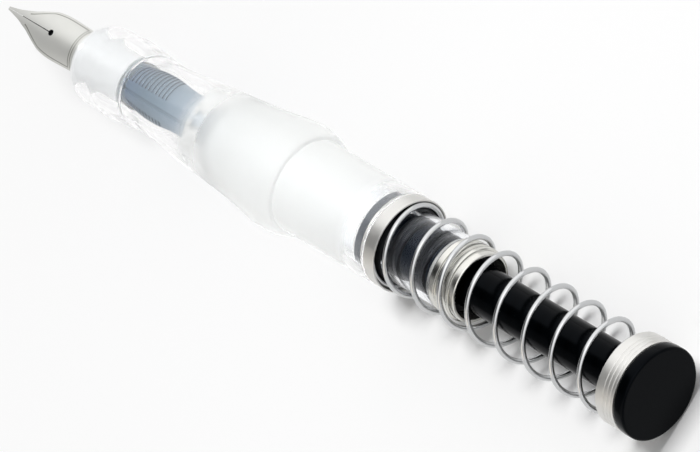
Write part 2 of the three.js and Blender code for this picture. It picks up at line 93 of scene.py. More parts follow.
def softened(outline, radius, closed=True, steps=3):
    """The outline's [place, radius] points with every corner replaced by a short arc."""
    soft = []
    count = len(outline)
    for i, here in enumerate(outline):
        here = Vector(here)
        before, after = Vector(outline[i - 1]), Vector(outline[(i + 1) % count])
        back, ahead = before - here, after - here
        turn = back.angle(ahead, math.pi)
        if turn > nearly_straight or (not closed and i in (0, count - 1)):
            soft.append(here)
            continue
        reach = min(radius / math.tan(turn / 2), longest_cut * min(back.length, ahead.length))
        start, end = here + back.normalized() * reach, here + ahead.normalized() * reach
        for j in range(steps + 1):
            t = j / steps
            soft.append(start * (1 - t) ** 2 + here * 2 * t * (1 - t) + end * t**2)
    return soft


def in_scene(name, data):
    made = bpy.data.objects.new(name, data)
    scene.collection.objects.link(made)
    return made


def make_object(name, vertices, faces):
    mesh = bpy.data.meshes.new(name)
    mesh.from_pydata(vertices, [], faces)
    mesh.validate()
    mesh.shade_smooth()
    return in_scene(name, mesh)


def turned(name, outline, edge, sides=128, shape=None):
    """A body of revolution about the pen's axis. An outline that touches the axis starts and ends on it."""
    open_ended = outline[0][1] == 0
    profile = softened(outline, edge, closed=not open_ended)
    vertices, faces, rows = [], [], []
    for place, radius in profile:
        ring_of = 1 if radius == 0 else sides
        rows.append(range(len(vertices), len(vertices) + ring_of))
        for j in range(ring_of):
            angle = 2 * math.pi * j / sides
            y, z = radius * math.sin(angle), radius * math.cos(angle)
            if shape:
                y, z = shape(place, y, z)
            vertices.append(point(place, y, z))
    pairs = list(zip(rows, rows[1:]))
    if not open_ended:
        pairs.append((rows[-1], rows[0]))
    for a, b in pairs:
        for j in range(sides):
            k = (j + 1) % sides
            corners = a[j % len(a)], b[j % len(b)], b[k % len(b)], a[k % len(a)]
            faces.append(tuple(dict.fromkeys(corners)))
    piece = make_object(name, vertices, faces)
    modifier = piece.modifiers.new("weighted normals", "WEIGHTED_NORMAL")
    modifier.weight = 100
    modifier.keep_sharp = True
    return piece


def bar(front, rear, radius, bore=0):
    """The outline of a plain round bar, or of a tube when it has a bore."""
    return [(front, bore), (front, radius), (rear, radius), (rear, bore)]

# %% [markdown]
# Colours are written as the sRGB hex codes that a colour picker shows, and shaders want linear values, so
# one function converts them. One more adds a node with its settings and links, which keeps each material
# short.

# %% Colours and nodes
def colour(code):
    """The linear colour of an sRGB hex code such as 6F8496."""
    values = [int(code[i : i + 2], 16) / 255 for i in (0, 2, 4)]
    return (*[v / 12.92 if v <= 0.04045 else ((v + 0.055) / 1.055) ** 2.4 for v in values], 1)


def add(tree, kind, settings=None, **inputs):
    """Adds a node. Settings are its properties, and inputs are values, or sockets to link from."""
    node = tree.nodes.new(kind)
    for key, value in (settings or {}).items():
        setattr(node, key, value)
    for key, value in inputs.items():
        name, number = key.replace("_", " "), key[1:]
        named = (socket for socket in node.inputs if socket.name == name)
        socket = node.inputs[int(number)] if number.isdigit() else next(named)
        if isinstance(value, bpy.types.NodeSocket):
            tree.links.new(value, socket)
        else:
            socket.default_value = value
    return node


def new_material(name, **surface):
    """A material with one Principled surface that takes the values given, its tree and its shader."""
    material = bpy.data.materials.new(name)
    material.use_nodes = True
    tree = material.node_tree
    tree.nodes.clear()
    shader = add(tree, "ShaderNodeBsdfPrincipled", **surface)
    output = add(tree, "ShaderNodeOutputMaterial")
    tree.links.new(shader.outputs[0], output.inputs["Surface"])
    return material, tree, shader


def mixed_colour(tree, share, first, second):
    """A colour that goes from the first to the second as the share goes from 0 to 1."""
    return add(tree, "ShaderNodeMix", {"data_type": "RGBA"}, Factor=share, i6=first, i7=second).outputs[2]


def place_in(tree, scale=(1, 1, 1)):
    """The piece's own coordinates in metres, stretched by scale."""
    coordinates = add(tree, "ShaderNodeTexCoord").outputs["Object"]
    return add(tree, "ShaderNodeMapping", Vector=coordinates, Scale=scale).outputs[0]


def calc(tree, operation, a, b=0.0):
    """The socket of a sum, a product or another operation on two values."""
    return add(tree, "ShaderNodeMath", {"operation": operation}, i0=a, i1=b).outputs[0]


def ramped(tree, value, begin=0, end=1, first=0, last=1, **settings):
    """A value that goes from first to last between begin and end, and stays level outside them."""
    ends = {"From_Min": begin, "From_Max": end, "To_Min": first, "To_Max": last}
    return add(tree, "ShaderNodeMapRange", settings, Value=value, **ends).outputs[0]


def behind_tip(tree):
    """How far behind the nib's tip the shaded point lies, in millimetres."""
    along = add(tree, "ShaderNodeSeparateXYZ", Vector=place_in(tree)).outputs["X"]
    return calc(tree, "DIVIDE", calc(tree, "SUBTRACT", along, tip), mm)


def mottled(tree, shader, size, depth, detail=2.0, scale=(1, 1, 1)):
    """Lets a noise shape the surface's shading: its size and its depth are in millimetres."""
    place = place_in(tree, scale)
    noise = add(tree, "ShaderNodeTexNoise", Vector=place, Scale=1 / (size * mm), Detail=detail)
    bump = add(tree, "ShaderNodeBump", Height=noise.outputs[0], Distance=depth * mm)
    tree.links.new(bump.outputs[0], shader.inputs["Normal"])


def finish_piece(piece, material, body, slot, *nodes):
    """Gives a piece its material, hangs it on its body's empty, and hides the nodes it stands for."""
    piece.data.materials.clear()
    piece.data.materials.append(material)
    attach(piece, body)
    if nodes:
        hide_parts(*nodes)
    print("%s: %d faces" % (piece.name, len(piece.data.polygons)))

# %% [markdown]
# The photograph looks down on the pen from behind its knob through a long lens, so it hardly tapers. The
# camera stands 1.16 m off: its place was worked out from the circles of the knob, the cups and the shoulder.

# %% The camera
camera_data = bpy.data.cameras.new("portrait camera")
camera_data.lens = 462.9
camera_data.clip_end = 10
camera = in_scene("portrait camera", camera_data)
scene.camera = camera
right = Vector((0.671, 0.512, -0.536)).normalized()
forward = Vector((-0.624, 0, -0.781)).normalized()
up = right.cross(forward).normalized()
stand = Matrix((right, up, -forward)).transposed().to_4x4()
stand.translation = point(764.2, -1.67, 873.0)
camera.matrix_world = stand
print("camera at", [round(v, 3) for v in camera.location])

# %% [markdown]
# The backdrop is a sheet of white paper. The pen lies on it on two lines only: the crest of its shoulder and
# the rim of its knob. The knob is thinner, so the paper is tipped by about a degree to meet both. The pen's
# own shadow falls on the paper. Shadows in the photograph all but vanish at the nib, so the paper has a
# share of its own glow there, which fades to nothing under the spring. Seen through clear plastic the paper
# glows evenly.

# %% The paper
shoulder = point(54.8, 0, 0).x
rise = math.atan2(axis_height - (knob_high.z - knob_low.z) / 2, knob_high.x - shoulder)
far = 1.5
lift = far * math.tan(rise)
corners = [(-far, -far, -lift), (far, -far, lift), (far, far, lift), (-far, far, -lift)]
paper = make_object("paper", corners, [(0, 1, 2, 3)])
paper.location = (shoulder, 0, -0.0001)
matt = {"Base_Color": colour("F6F6F6"), "Roughness": 0.9, "Specular_IOR_Level": 0.0}
paper_white, tree, shader = new_material("matt white paper", **matt)
full_glow, no_glow, nib_glow = 20, 70, 0.75


def inside_clear(tree):
    """1 for a ray that has passed into clear plastic, however it was turned inside it, or else 0."""
    seen = add(tree, "ShaderNodeLightPath").outputs
    passed = calc(tree, "MINIMUM", seen["Transmission Depth"], 1)
    return calc(tree, "MAXIMUM", seen["Is Transmission Ray"], passed)


seen = add(tree, "ShaderNodeLightPath").outputs
glow_share = ramped(tree, behind_tip(tree), full_glow, no_glow, nib_glow, 0)
straight = calc(tree, "MAXIMUM", seen["Is Camera Ray"], seen["Is Glossy Ray"])
straight = calc(tree, "MULTIPLY", straight, glow_share)
share = calc(tree, "MAXIMUM", inside_clear(tree), straight)
glow = add(tree, "ShaderNodeEmission", Color=colour("FAFAFA"), Strength=1.0)
mixed = add(tree, "ShaderNodeMixShader", Fac=share, i1=shader.outputs[0], i2=glow.outputs[0])
tree.links.new(mixed.outputs[0], tree.nodes["Material Output"].inputs["Surface"])
paper.data.materials.append(paper_white)
print("paper tipped by %.2f degrees" % math.degrees(rise))

# %% [markdown]
# The studio is a white tent, and the tent is the world. Polished metal only looks like metal when it has
# something to show, so the tent that reflections meet is not even: its right side is a bright window, a
# softer glow stands beside the camera, and a black flag across the way draws the dark line along the top of
# every turned piece. A faintly warm glow lies low on the left, where only the grooves of turned steel
# scatter light from. Lit surfaces meet an even, dimmer tent. The camera, and anything looked at through
# clear plastic, meet plain white. Most of the light comes from a soft lamp nearly overhead, a little to the
# right, so that the shadow keeps close to the pen's lower left.

# %% The studio light
world = bpy.data.worlds.new("white tent")
scene.world = world
world.use_nodes = True
tree = world.node_tree
tree.nodes.clear()
direction = add(tree, "ShaderNodeTexCoord").outputs["Generated"]


def towards(aim, near, far, low, high):
    """A soft disc on the tent: high within near degrees of its aim, and low past far degrees."""
    product, aim = {"operation": "DOT_PRODUCT"}, Vector(aim).normalized()
    facing = add(tree, "ShaderNodeVectorMath", product, i0=direction, i1=aim).outputs["Value"]
    edges = math.cos(math.radians(far)), math.cos(math.radians(near))
    return ramped(tree, facing, *edges, low, high, interpolation_type="SMOOTHSTEP")


right_window = towards((-0.2, 0.84, 0.5), 30, 85, 0.3, 1.5)
left_glow = towards((0.1, -0.97, 0.2), 20, 40, 0.0, 1.0)
flag = towards((-0.62, -0.29, 0.72), 11, 24, 1.0, 0.03)
camera_glow = towards((0.62, -0.05, 0.78), 20, 50, 0.0, 1.1)
glows = calc(tree, "ADD", calc(tree, "ADD", right_window, left_glow), camera_glow)
shine = calc(tree, "MULTIPLY", glows, flag)
seen = add(tree, "ShaderNodeLightPath").outputs
inside = inside_clear(tree)
reflected = calc(tree, "MAXIMUM", calc(tree, "SUBTRACT", seen["Is Glossy Ray"], inside), 0)
shown_white = calc(tree, "MAXIMUM", inside, seen["Is Camera Ray"])
lit_strength, added_when_shown = 0.42, 0.53
added = calc(tree, "MULTIPLY", shown_white, added_when_shown)
even_strength = calc(tree, "ADD", added, lit_strength)
even = add(tree, "ShaderNodeBackground", Color=colour("FAFAFA"), Strength=even_strength)
shine_colour = mixed_colour(tree, left_glow, colour("FFFFFF"), colour("FFFAF2"))
uneven = add(tree, "ShaderNodeBackground", Color=shine_colour, Strength=shine)
sky = add(tree, "ShaderNodeMixShader", Fac=reflected, i1=even.outputs[0], i2=uneven.outputs[0])
tree.links.new(sky.outputs[0], add(tree, "ShaderNodeOutputWorld").inputs["Surface"])

lamp_data = bpy.data.lights.new("soft lamp", "AREA")
lamp_data.size = 0.3
lamp_data.energy = 5.2
lamp = in_scene("soft lamp", lamp_data)
lamp.location = (0.0, 0.15, 0.85)
lamp.rotation_euler = (-lamp.location).to_track_quat("-Z", "Y").to_euler()
lamp.visible_glossy = False

scene.view_settings.view_transform = "Standard"
scene.cycles.max_bounces = 32
scene.cycles.transmission_bounces = 24
scene.cycles.glossy_bounces = 16

# %% [markdown]
# The barrel is a thick moulding in clear polycarbonate, with an IOR of about 1.5. Its grip shows the feed.
# From the feed's end to the gasket the moulding is milky, and it hides all that it holds: there a part of
# the light is scattered by the plastic, and the rest passes a rough surface. The milk sets in within a
# millimetre and a half, and the roughness a little further back. A shallow, slow wave stands in for the flow
# of the plastic in the mould. Light passes into the pen as if the clear pieces weren't there, because clear
# plastic throws hardly any shadow.

# %% Clear plastics
plastic_ior = 1.49


def clear_plastic(name, tint, roughness, wave, wave_depth, transmission=1, **more):
    """Clear plastic with a slow wave in its surface, whose length and depth are in millimetres."""
    more.update(Base_Color=colour(tint), Roughness=roughness)
    more.update(IOR=plastic_ior, Transmission_Weight=transmission)
    material, tree, shader = new_material(name, **more)
    mottled(tree, shader, wave, wave_depth, detail=1.0)
    return material


def pass_light(piece):
    """Lets lamps and scattered light through a clear piece."""
    piece.visible_shadow = False
    piece.visible_diffuse = False


milk_from, milk_to, blur_from = (38.4, 39.8), (69.5, 71.5), (40.5, 46.0)
clear_transmission, milky_transmission = 0.97, 0.7
clear_roughness, milky_roughness = 0.03, 0.6
barrel_clear = clear_plastic("clear moulded polycarbonate", "FFFFFF", clear_roughness, 6, 0.003)
tree = barrel_clear.node_tree
surface = tree.nodes["Principled BSDF"].inputs
place = behind_tip(tree)
falling = ramped(tree, place, milk_to[1], milk_to[0])
milk = calc(tree, "MINIMUM", ramped(tree, place, *milk_from), falling)
blur = calc(tree, "MINIMUM", ramped(tree, place, *blur_from), falling)
transmission = ramped(tree, milk, 0, 1, clear_transmission, milky_transmission)
tree.links.new(transmission, surface["Transmission Weight"])
tree.links.new(ramped(tree, blur, 0, 1, clear_roughness, milky_roughness), surface["Roughness"])
tree.links.new(mixed_colour(tree, milk, colour("FFFFFF"), colour("F1F2F1")), surface["Base Color"])
chamber_shine = colour("6A7078")
chamber_clear = clear_plastic("clear extruded acrylic", "FBFCFE", 0.01, 9, 0.01, Specular_Tint=chamber_shine)
frosted = clear_plastic("frosted moulded polycarbonate", "E9EBEC", 0.4, 1.5, 0.03, transmission=0.45)

# %% [markdown]
# The front barrel swells from a rounded lip over the grip to a wide shoulder, then steps down to the land
# that a rear sleeve would screw onto. Three soft facets are pressed into the grip for the fingers. It is one
# closed outline, bores and all, because light has to pass every wall of it.

# %% The front barrel
def span(node):
    """A node's front and rear, in millimetres behind the tip, and its outer radius."""
    low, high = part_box(node)
    return (low.x - tip) / mm, (high.x - tip) / mm, (high.y - low.y) / 2 / mm


def smooth_line(points, steps=8):
    """A smooth line through [place, value] points, with a few steps between each two."""
    line = []
    for i in range(len(points) - 1):
        p0, p1, p2, p3 = (Vector(points[min(max(k, 0), len(points) - 1)]) for k in range(i - 1, i + 3))
        for j in range(steps):
            t = j / steps
            rest = (2 * p0 - 5 * p1 + 4 * p2 - p3) * t**2 + (3 * p1 - p0 - 3 * p2 + p3) * t**3
            line.append((2 * p1 + (p2 - p0) * t + rest) / 2)
    return [tuple(p) for p in line] + [tuple(points[-1])]


mouth, barrel_end, shoulder_radius = span("front_barrel")
chamber_front, chamber_rear, chamber_radius = span("ink_chamber")
gasket_front, _, gasket_radius = span("chamber_gasket")
housing_front, housing_rear, housing_radius = span("nib_housing")

grip_length, shoulder_fall = 38.1, 3.2
stop_radius, land_radius = 6.69, 6.28
grip_shares = [
    (0.012, 0.573), (0.039, 0.66), (0.073, 0.713), (0.105, 0.72), (0.135, 0.712),
    (0.178, 0.742), (0.24, 0.722), (0.335, 0.68), (0.43, 0.712), (0.547, 0.763),
    (0.691, 0.82), (0.822, 0.883), (0.92, 0.955), (0.968, 0.99), (1, 1),
]
crest = mouth + grip_length
stop_face = crest + shoulder_fall
facet_from, facet_length, facet_depth = 0.17, 0.43, 0.08
widest_bore = 0.55 * shoulder_radius


def pressed(place, y, z):
    """Presses three soft facets into the grip, with a ridge in line with the nib. Bores stay round."""
    along = min(1, max(0, ((place - mouth) / grip_length - facet_from) / facet_length))
    depth = facet_depth * math.sin(math.pi * along) ** 2 * (1 - math.cos(3 * math.atan2(y, z))) / 2
    if math.hypot(y, z) < widest_bore:
        depth = 0
    return y * (1 - depth), z * (1 - depth)


outer = smooth_line([(mouth + s * grip_length, r * shoulder_radius) for s, r in grip_shares], 6)
shoulder_steps = 12
for i in range(1, shoulder_steps + 1):
    angle = math.pi / 2 * i / shoulder_steps
    radius = stop_radius + math.cos(angle) * (shoulder_radius - stop_radius)
    outer.append((crest + math.sin(angle) * shoulder_fall, radius))
outer += [(stop_face, land_radius), (barrel_end, land_radius)]

play, chamber_wall = 0.1, 0.7
feed_bore, housing_seat, drum_end, partition, chamber_seat = 3.05, 26.5, 38.9, 40.7, 44.2
funnel_radius, tail_hole = 1.6, 1.0
gasket_seat, gasket_bore, chamber_fit = gasket_front - play, gasket_radius + play, chamber_radius + play
bores = [
    (barrel_end, gasket_bore), (gasket_seat, gasket_bore), (gasket_seat, chamber_fit),
    (chamber_seat, chamber_fit), (chamber_seat, chamber_radius - chamber_wall),
    (partition, funnel_radius), (partition, tail_hole), (drum_end + play, tail_hole),
    (drum_end + play, feed_bore), (housing_seat, feed_bore),
    (housing_seat, housing_radius + play), (mouth, housing_radius + play),
]
barrel = turned("front_barrel_clear", outer + bores, 0.06, 192, pressed)
finish_piece(barrel, barrel_clear, "barrel", "clear_barrel", "front_barrel")
pass_light(barrel)

housing_bore = 3.3
housing = turned("nib_housing_clear", bar(housing_front, housing_rear, housing_radius, housing_bore), 0.04)
finish_piece(housing, frosted, "barrel", "clear_barrel", "nib_housing")

# %% [markdown]
# The clear ink chamber stands out of the barrel. It is a plain tube with polished walls.

# %% The ink chamber
chamber_bore = chamber_radius - chamber_wall
chamber = turned("ink_chamber_clear", bar(chamber_front, chamber_rear, chamber_radius, chamber_bore), 0.05)
finish_piece(chamber, chamber_clear, "barrel", "clear_chamber", "ink_chamber")
pass_light(chamber)

# %% [markdown]
# The two cups are turned from stainless bar, so each carries fine rings from the tool. They are too fine to
# see, but they scatter light along the pen, which an anisotropic roughness gives. The spring is drawn wire,
# and the nib is rolled sheet, polished lengthwise.

# %% Steels
quarter_turn = 0.25
line_stretch, ring_stretch = 60, 400
wear_scale, least_wear, most_wear = 900.0, 0.8, 1.3


def steel(name, tint, roughness, groove, groove_depth, lengthwise=False, spread=0.0):
    """Steel with fine grooves round or along it, sized in millimetres, and a slightly varied roughness."""
    material, tree, shader = new_material(name, Base_Color=colour(tint), Metallic=1.0, Roughness=roughness)
    if spread:
        shader.inputs["Anisotropic"].default_value = spread
        shader.inputs["Anisotropic Rotation"].default_value = quarter_turn
        round_the_axis = add(tree, "ShaderNodeTangent", {"direction_type": "RADIAL", "axis": "X"})
        tree.links.new(round_the_axis.outputs[0], shader.inputs["Tangent"])
    scale = (1 / line_stretch, 1, 1) if lengthwise else (1, 1 / ring_stretch, 1 / ring_stretch)
    mottled(tree, shader, groove, groove_depth, 3.0, scale)
    worn = add(tree, "ShaderNodeTexNoise", Vector=place_in(tree), Scale=wear_scale, Detail=2.0)
    rough = ramped(tree, worn.outputs[0], 0, 1, roughness * least_wear, roughness * most_wear)
    tree.links.new(rough, shader.inputs["Roughness"])
    return material


turned_steel = steel("turned stainless steel", "DAD9D6", 0.42, 0.12, 0.003, spread=0.85)
collar_steel = steel("polished stainless steel", "D2D1CC", 0.2, 0.12, 0.001, spread=0.7)
wire_steel = steel("drawn spring steel", "C2C3C4", 0.16, 0.2, 0.002)

# %% The spring ring
ring_front, ring_rear, ring_radius = span("front_spring_ring")
ring_face, ring_bore, skirt_radius = barrel_end + play, ring_radius - 0.23, ring_radius - 0.05
ring_floor = ring_face + 0.25
gland_radius, gland_bore = 5.75, 5.0
lip_front, lip_top = ring_rear - 0.3, ring_rear - 0.26
front_ring = turned(
    "spring_ring_steel",
    [
        (ring_front, gland_bore), (ring_front, gland_radius), (ring_face, gland_radius),
        (ring_face, skirt_radius), (lip_front, skirt_radius), (lip_top, ring_radius),
        (ring_rear, ring_radius), (ring_rear, ring_bore), (ring_floor, ring_bore), (ring_floor, gland_bore),
    ],
    0.05,
)
finish_piece(front_ring, turned_steel, "barrel", "ring_steel", "front_spring_ring")

# %% The end collar and the spring cup
def groove(place, radius, depth, slope, width):
    """The points of a groove turned into an outline: down a slope, along its floor, and up again."""
    floor = radius - depth
    return [(place, radius), (place + slope, floor), (place + width - slope, floor), (place + width, radius)]


cap_front, cap_rear, cap_radius = span("chamber_end_cap")
cap_body = cap_front + 1
cap_mouth, cap_neck, cap_plug = cap_radius - 0.7, cap_radius - 0.28, chamber_bore - play
mouth_floor, neck_step, neck_front, neck_bevel = cap_body + 0.4, cap_rear - 1.0, cap_rear - 0.95, 0.12
rod_hole = 3.3
outline = [(cap_front, rod_hole), (cap_front, cap_plug), (cap_body, cap_plug), (cap_body, cap_radius)]
for share in (0.2, 0.51):
    outline += groove(cap_body + share * (cap_rear - cap_body), cap_radius, 0.2, 0.08, 0.45)
outline += [
    (neck_step, cap_radius), (neck_front, cap_neck), (cap_rear - neck_bevel, cap_neck),
    (cap_rear, cap_neck - neck_bevel), (cap_rear, cap_mouth), (mouth_floor, cap_mouth),
    (mouth_floor, rod_hole),
]
collar = turned("chamber_end_collar", outline, 0.05)
finish_piece(collar, collar_steel, "barrel", "ring_steel", "chamber_end_cap")

cup_front, cup_rear, cup_radius = span("spring_cup")
cup_floor = cup_front + 0.95
outline = [(cup_front, ring_bore), (cup_front, cup_radius)]
for step in (0.25, 0.86, 1.48):
    outline += groove(cup_floor + step, cup_radius, 0.07, 0.06, 0.2)
outline += [(cup_rear, cup_radius), (cup_rear, rod_hole), (cup_floor, rod_hole), (cup_floor, ring_bore)]
cup = turned("spring_cup_steel", outline, 0.05)
finish_piece(cup, turned_steel, "cup", "ring_steel", "spring_cup")

# %% [markdown]
# The nib is stamped from steel sheet and rolled over a mandrel. Its half width, the height of its back and
# the radius it is rolled to change smoothly along it, so each is a smooth line through a few shares, and the
# blade is skinned between them. It is two mirrored halves: they part along the slit and round the vent, and
# join behind it.

# %% The nib's blade
def follow(points):
    """Gives the value of the smooth line through [share, value] points, at any share."""
    shares, values = zip(*smooth_line(points))
    return lambda share: numpy.interp(share, shares, values)


nib_end = span("nib")[1]
nib_thickness, nib_half_width, nib_roll, nib_crown = 0.3, 3.07, 3.3, 3.15
tipping_radius, slit_width, slit_at_tip, vent_radius = 0.3, 0.12, 0.3, 0.42
vent_place = mouth - 5.8
width_at = follow([
    (0, 0.07), (0.07, 0.145), (0.14, 0.24), (0.21, 0.39), (0.25, 0.49), (0.34, 0.81), (0.38, 0.93), (0.46, 1),
    (0.56, 0.985), (0.68, 0.955), (1, 0.93),
])
crown_at = follow([
    (0, 0.08), (0.1, 0.36), (0.2, 0.62), (0.3, 0.8), (0.4, 0.91), (0.52, 0.97), (0.68, 1), (1, 1),
])
roll_at = follow([(0, 0.75), (0.15, 0.9), (0.3, 1.12), (0.42, 1.2), (0.55, 1.08), (0.68, 1), (1, 0.99)])


def half_gap(place):
    """Half the gap between the nib's halves at a place: the slit, then the round vent, then nothing."""
    opening = slit_at_tip + (1 - slit_at_tip) * place / vent_place
    slit = slit_width / 2 * opening if place < vent_place else 0
    return max(slit, math.sqrt(max(0, vent_radius**2 - (place - vent_place) ** 2)))


def blade_places(slit_rows=44, vent_rows=20, heel_rows=40):
    """The places of the blade's rows: along the slit, round the vent, and back to the heel."""
    front, rear = vent_place - vent_radius, vent_place + vent_radius
    places = [tipping_radius + (front - tipping_radius) * i / slit_rows for i in range(slit_rows)]
    places += [vent_place - vent_radius * math.cos(math.pi * i / vent_rows) for i in range(vent_rows)]
    return places + [rear + (nib_end - rear) * i / heel_rows for i in range(heel_rows + 1)]


def nib_blade(columns=16):
    """Vertices, faces, and each vertex's distance from the blade's edge in millimetres, -1 underneath."""
    vertices, faces, from_edge = [], [], []
    places = blade_places()
    for side in (1, -1):
        first = len(vertices)
        for place in places:
            share = (place - tipping_radius) / (nib_end - tipping_radius)
            roll, crown = roll_at(share) * nib_roll, crown_at(share) * nib_crown
            gap, width = half_gap(place), width_at(share) * nib_half_width
            gap = min(gap, width * 0.5)
            for depth in (0, nib_thickness):
                for j in range(columns + 1):
                    turn = math.asin(min(1, (gap + (width - gap) * j / columns) / roll))
                    y, z = (roll - depth) * math.sin(turn), crown - roll + (roll - depth) * math.cos(turn)
                    vertices.append(point(place, side * y, z))
                    from_edge.append(-1 if depth else roll * (math.asin(min(1, width / roll)) - turn))
        row = 2 * (columns + 1)
        for i in range(len(places) - 1):
            a, b = first + i * row, first + (i + 1) * row
            for j in range(columns):
                faces.append((a + j, a + j + 1, b + j + 1, b + j))
                c, d = a + columns + 1 + j, b + columns + 1 + j
                faces.append((c, d, d + 1, c + 1))
            faces.append((a + columns, a + row - 1, b + row - 1, b + columns))
            if half_gap(places[i]) > 0:
                faces.append((a, b, b + columns + 1, a + columns + 1))
        for a in (first, first + (len(places) - 1) * row):
            for j in range(columns):
                faces.append((a + j, a + j + 1, a + columns + 2 + j, a + columns + 1 + j))
    return vertices, faces, from_edge


def keep_sharp(piece, degrees=35):
    """Keeps a piece's edges sharp where its faces turn by more than this."""
    piece.data.set_sharp_from_angle(angle=math.radians(degrees))


def welded(piece, degrees=35):
    """Merges a piece's doubled points, turns its faces out, and keeps its real edges sharp."""
    form = bmesh.new()
    form.from_mesh(piece.data)
    bmesh.ops.remove_doubles(form, verts=form.verts, dist=0.001 * mm)
    bmesh.ops.recalc_face_normals(form, faces=form.faces)
    form.to_mesh(piece.data)
    form.free()
    keep_sharp(piece, degrees)


vertices, faces, from_edge = nib_blade()
nib = make_object("nib_blade", vertices, faces)
edge_distance = nib.data.attributes.new("from edge", "FLOAT", "POINT")
edge_distance.data.foreach_set("value", from_edge)
welded(nib, 40)

# %% [markdown]
# Polished sheet steel is brighter and cooler than the turned rings, and its polishing lines run towards the
# tip. The lines are too fine to show, and scatter a good part of the light like a matt surface, so its
# metallic value is low. The engraving is a plain border line, at one distance from the edge all along, and
# two lines across the heel. The walls of the slit and the vent are painted near-black, as painted shade.

# %% The nib's steel
border_inset, border_half_width, border_from, border_to = 0.5, 0.09, 5.5, 15.35
heel_lines, heel_half_width, heel_inset = (15.3, 15.65), 0.07, 0.45
bright_tip, wall_steepness, wall_reach = 1, 0.7, 0.01


def line_mask(tree, value, middle, half_width):
    """1 on the line where a value passes the middle, and 0 past its half width."""
    off = calc(tree, "ABSOLUTE", calc(tree, "SUBTRACT", value, middle))
    return ramped(tree, off, half_width * 0.5, half_width, 1, 0)


def is_gap_wall(face):
    """Whether a face of the blade is a wall of its slit or its vent, behind the bright tip."""
    place, y = (face.center.x - tip) / mm, abs(face.center.y) / mm
    by_gap = bright_tip < place < vent_place + vent_radius and y < half_gap(place) + wall_reach
    return by_gap and abs(face.normal.y) + abs(face.normal.x) > wall_steepness


nib_steel = steel("polished sheet steel", "D3D3CF", 0.42, 0.08, 0.003, lengthwise=True)
tree = nib_steel.node_tree
surface = tree.nodes["Principled BSDF"].inputs
surface["Metallic"].default_value = 0.55
distance = add(tree, "ShaderNodeAttribute", {"attribute_name": "from edge"}).outputs["Fac"]
place = behind_tip(tree)
after = calc(tree, "GREATER_THAN", place, border_from)
before = calc(tree, "LESS_THAN", place, border_to)
border = line_mask(tree, distance, border_inset, border_half_width)
border = calc(tree, "MULTIPLY", border, calc(tree, "MULTIPLY", after, before))
heel = calc(tree, "MAXIMUM", *[line_mask(tree, place, line, heel_half_width) for line in heel_lines])
heel = calc(tree, "MULTIPLY", heel, calc(tree, "GREATER_THAN", distance, heel_inset))
engraved = calc(tree, "MAXIMUM", border, heel)
plain_colour = surface["Base Color"].default_value[:]
tree.links.new(mixed_colour(tree, engraved, plain_colour, colour("77776F")), surface["Base Color"])

# Painted shade: the walls of the slit and the vent get near-black steel for the shade in those narrow gaps.
gap_shade = {"Base_Color": colour("101114"), "Metallic": 0.3, "Roughness": 0.6}
gap_shade_steel, tree, shader = new_material("steel painted dark for shade in slit and vent", **gap_shade)
mottled(tree, shader, 0.25, 0.002)
finish_piece(nib, nib_steel, "barrel", "nib_steel", "nib")
nib.data.materials.append(gap_shade_steel)
for face in nib.data.polygons:
    face.material_index = int(is_gap_wall(face))

# %% [markdown]
# The return spring is one length of wire. A helix follows a rule, so Geometry Nodes draw it: a line of
# points, each sent to its place by its turn, then swept with a round wire. Its first and last turn lie
# nearly closed, so that it stands square in its cups.

# %% A tree for coil springs
def new_tree(name, sizes):
    """A Geometry Nodes tree with a named input for each size, and the sockets that carry them."""
    tree = bpy.data.node_groups.new(name, "GeometryNodeTree")
    tree.interface.new_socket("Geometry", in_out="INPUT", socket_type="NodeSocketGeometry")
    for label, value in sizes.items():
        kind = "NodeSocketInt" if isinstance(value, int) else "NodeSocketFloat"
        tree.interface.new_socket(label, in_out="INPUT", socket_type=kind).default_value = value
    tree.interface.new_socket("Geometry", in_out="OUTPUT", socket_type="NodeSocketGeometry")
    return tree, tree.nodes.new("NodeGroupInput").outputs


def baked(piece):
    """Replaces a piece's mesh by what its modifiers make of it."""
    evaluated = piece.evaluated_get(bpy.context.evaluated_depsgraph_get())
    result = bpy.data.meshes.new_from_object(evaluated)
    piece.modifiers.clear()
    piece.data = result
    piece.data.shade_smooth()
    return piece


def grown(name, tree, geometry, material):
    """Ends a tree in its geometry with a material, runs it, and keeps the result as a plain mesh."""
    coated = add(tree, "GeometryNodeSetMaterial", Geometry=geometry, Material=material).outputs[0]
    tree.links.new(coated, tree.nodes.new("NodeGroupOutput").inputs[0])
    piece = make_object(name, [], [])
    piece.modifiers.new(name, "NODES").node_group = tree
    return baked(piece)


